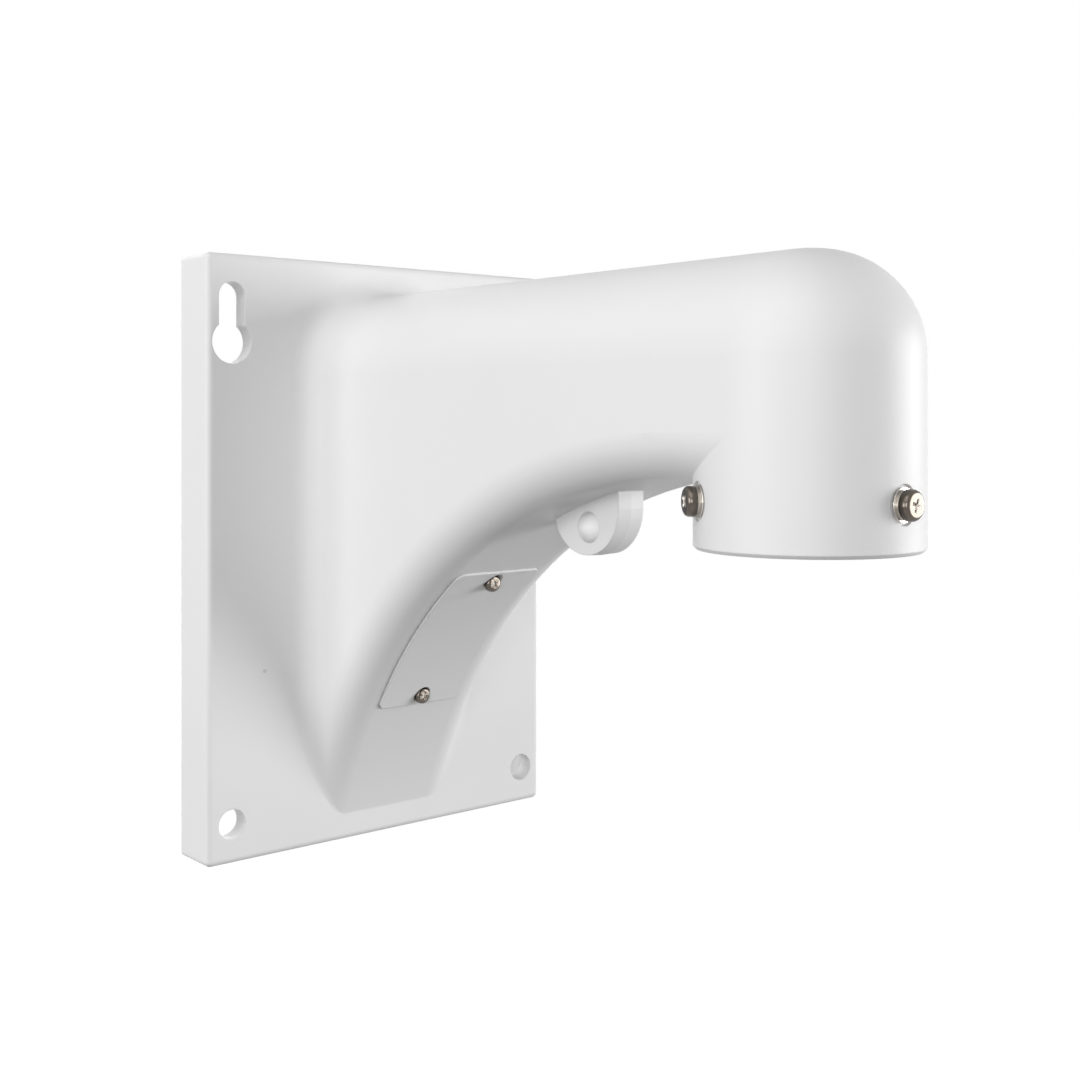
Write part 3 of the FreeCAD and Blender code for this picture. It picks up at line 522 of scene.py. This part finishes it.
def makeHead(size):
    # head up, its seat on z = 0
    high = size["headHeight"]
    deselectAll()
    bpy.ops.mesh.primitive_cylinder_add(
        vertices=48, radius=size["headWidth"] / 2, depth=high, location=(0, 0, high / 2))
    head = bpy.context.object
    applyPlace(head)
    selectEdges(head, lambda spot: spot.z > 0.9 * high)
    bpy.ops.mesh.bevel(offset=panHead["crown"] * high, segments=7, profile=0.5, affect="EDGES")
    selectEdges(head, lambda spot: spot.z < 0.01 * high)
    bpy.ops.mesh.bevel(offset=panHead["foot"] * high, segments=2, profile=0.5, affect="EDGES")
    bpy.ops.object.mode_set(mode="OBJECT")
    for turn in (0, 90):
        deselectAll()
        bpy.ops.mesh.primitive_cube_add(size=1, location=(0, 0, high))
        bar = bpy.context.object
        bar.scale = (size["crossLength"], size["crossWidth"], 2 * size["crossDepth"])
        bar.rotation_euler = (0, 0, math.radians(turn))
        applyPlace(bar)
        selectEdges(bar, lambda spot: spot.z < high)
        taper = panHead["crossTaper"]
        bpy.ops.transform.resize(value=(taper, taper, 1), center_override=(0, 0, high))
        bpy.ops.object.mode_set(mode="OBJECT")
        applyModifier(head, "BOOLEAN", operation="DIFFERENCE", object=bar, solver="EXACT")
        bpy.data.objects.remove(bar)
    return head


def makeShank(size):
    deselectAll()
    length = size["length"]
    core = size["thread"] / 2 - panHead["coreDepth"] * size["pitch"]
    bpy.ops.mesh.primitive_cylinder_add(
        vertices=32, radius=core, depth=length, location=(0, 0, -length / 2))
    shank = bpy.context.object
    applyPlace(shank)
    selectEdges(shank, lambda spot: spot.z < -0.9 * length)
    bpy.ops.mesh.bevel(offset=panHead["tip"] * core, segments=2, profile=0.5, affect="EDGES")
    bpy.ops.object.mode_set(mode="OBJECT")
    return shank


def brightenRecess(screw, size):
    # the walls and bottom of the cross get the second material, a lighter steel that paints the highlight
    # in the recess
    high = size["headHeight"]
    bottom = high - size["crossDepth"]
    reach = 0.52 * size["crossLength"]
    for face in screw.data.polygons:
        spot = face.center
        inside = spot.xy.length < reach and bottom - 0.05 * high < spot.z < 0.98 * high
        steep = face.normal.z < 0.8 or spot.z < bottom + 0.1 * high
        face.material_index = int(inside and steep)


def makeScrew(size):
    head = makeHead(size)
    shank = makeShank(size)
    turns = int(panHead["threadLength"] * size["length"] / size["pitch"])
    ridge = threadRidge(size["thread"] / 2, size["pitch"], panHead["threadLow"] * size["length"],
                        turns, panHead["ridgeHeight"] * size["pitch"])
    deselectAll()
    for piece in (ridge, shank, head):
        piece.select_set(True)
    bpy.context.view_layer.objects.active = head
    bpy.ops.object.join()
    head.data.materials.clear()
    # the head steel carries a painted dark reflection, the recess steel a painted highlight
    head.data.materials.append(shadedScrewSteel)
    head.data.materials.append(litRecessSteel)
    brightenRecess(head, size)
    return head


def placeCopies(pattern, places, name):
    copies = []
    for spot, turn in places:
        makeActive(pattern)
        bpy.ops.object.duplicate()
        copy = bpy.context.object
        copy.location = spot
        copy.rotation_euler = turn
        applyPlace(copy)
        copies.append(copy)
    bpy.data.objects.remove(pattern)
    deselectAll()
    for copy in copies:
        copy.select_set(True)
    bpy.context.view_layer.objects.active = copies[0]
    bpy.ops.object.join()
    finishPiece(copies[0], name)
    return copies[0]


places = []
for screwSpot in clampScrew["spots"]:
    lean = math.radians(screwSpot["turn"])
    outward = Vector((-math.sin(lean), -math.cos(lean), 0))
    place = Vector(clampScrew["collarAxis"]) + outward * (clampScrew["seat"] + clampScrew["stack"])
    turn = Euler((math.radians(90), math.radians(screwSpot["crossTurn"]), -lean), "XYZ")
    places.append((place, turn))
clampSet = placeCopies(makeScrew(clampScrew), places, "clampScrewSet")
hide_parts("clamp_screws")

places = []
for screwSpot in hatchScrew["spots"]:
    angle = math.radians(screwSpot["angle"])
    centreY, centreZ = hatchScrew["undersideCentre"]
    reach = hatchScrew["undersideRadius"]
    seat = centreY + reach * math.cos(angle) + screwSpot["sink"]
    place = Vector((0, seat - hatchScrew["stack"], centreZ + reach * math.sin(angle)))
    turn = Euler((math.radians(90), math.radians(screwSpot["crossTurn"]), 0), "XYZ")
    places.append((place, turn))
hatchSet = placeCopies(makeScrew(hatchScrew), places, "hatchScrewSet")
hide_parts("hatch_screws")
print("screws made")


# Pipe thread in the collar

collarThread = {
    "axis": (0, -207.8 * mm, 0),
    "bore": 22.4 * mm,
    "pitch": 2.309 * mm,
    "height": 0.75 * mm,
    "sunk": 0.1 * mm,  # the ridge's foot lies this deep in the wall
    "low": 15.4 * mm,
    "turns": 8,
    "steps": 96,
}
thread = threadRidge(
    collarThread["bore"] - collarThread["height"], collarThread["pitch"], collarThread["low"],
    collarThread["turns"], -collarThread["height"] - collarThread["sunk"], collarThread["steps"])
thread.location = collarThread["axis"]
thread.data.materials.append(threadMetal)
finishPiece(thread, "collarThread", angle=25)
print("collar thread made")

print("done")
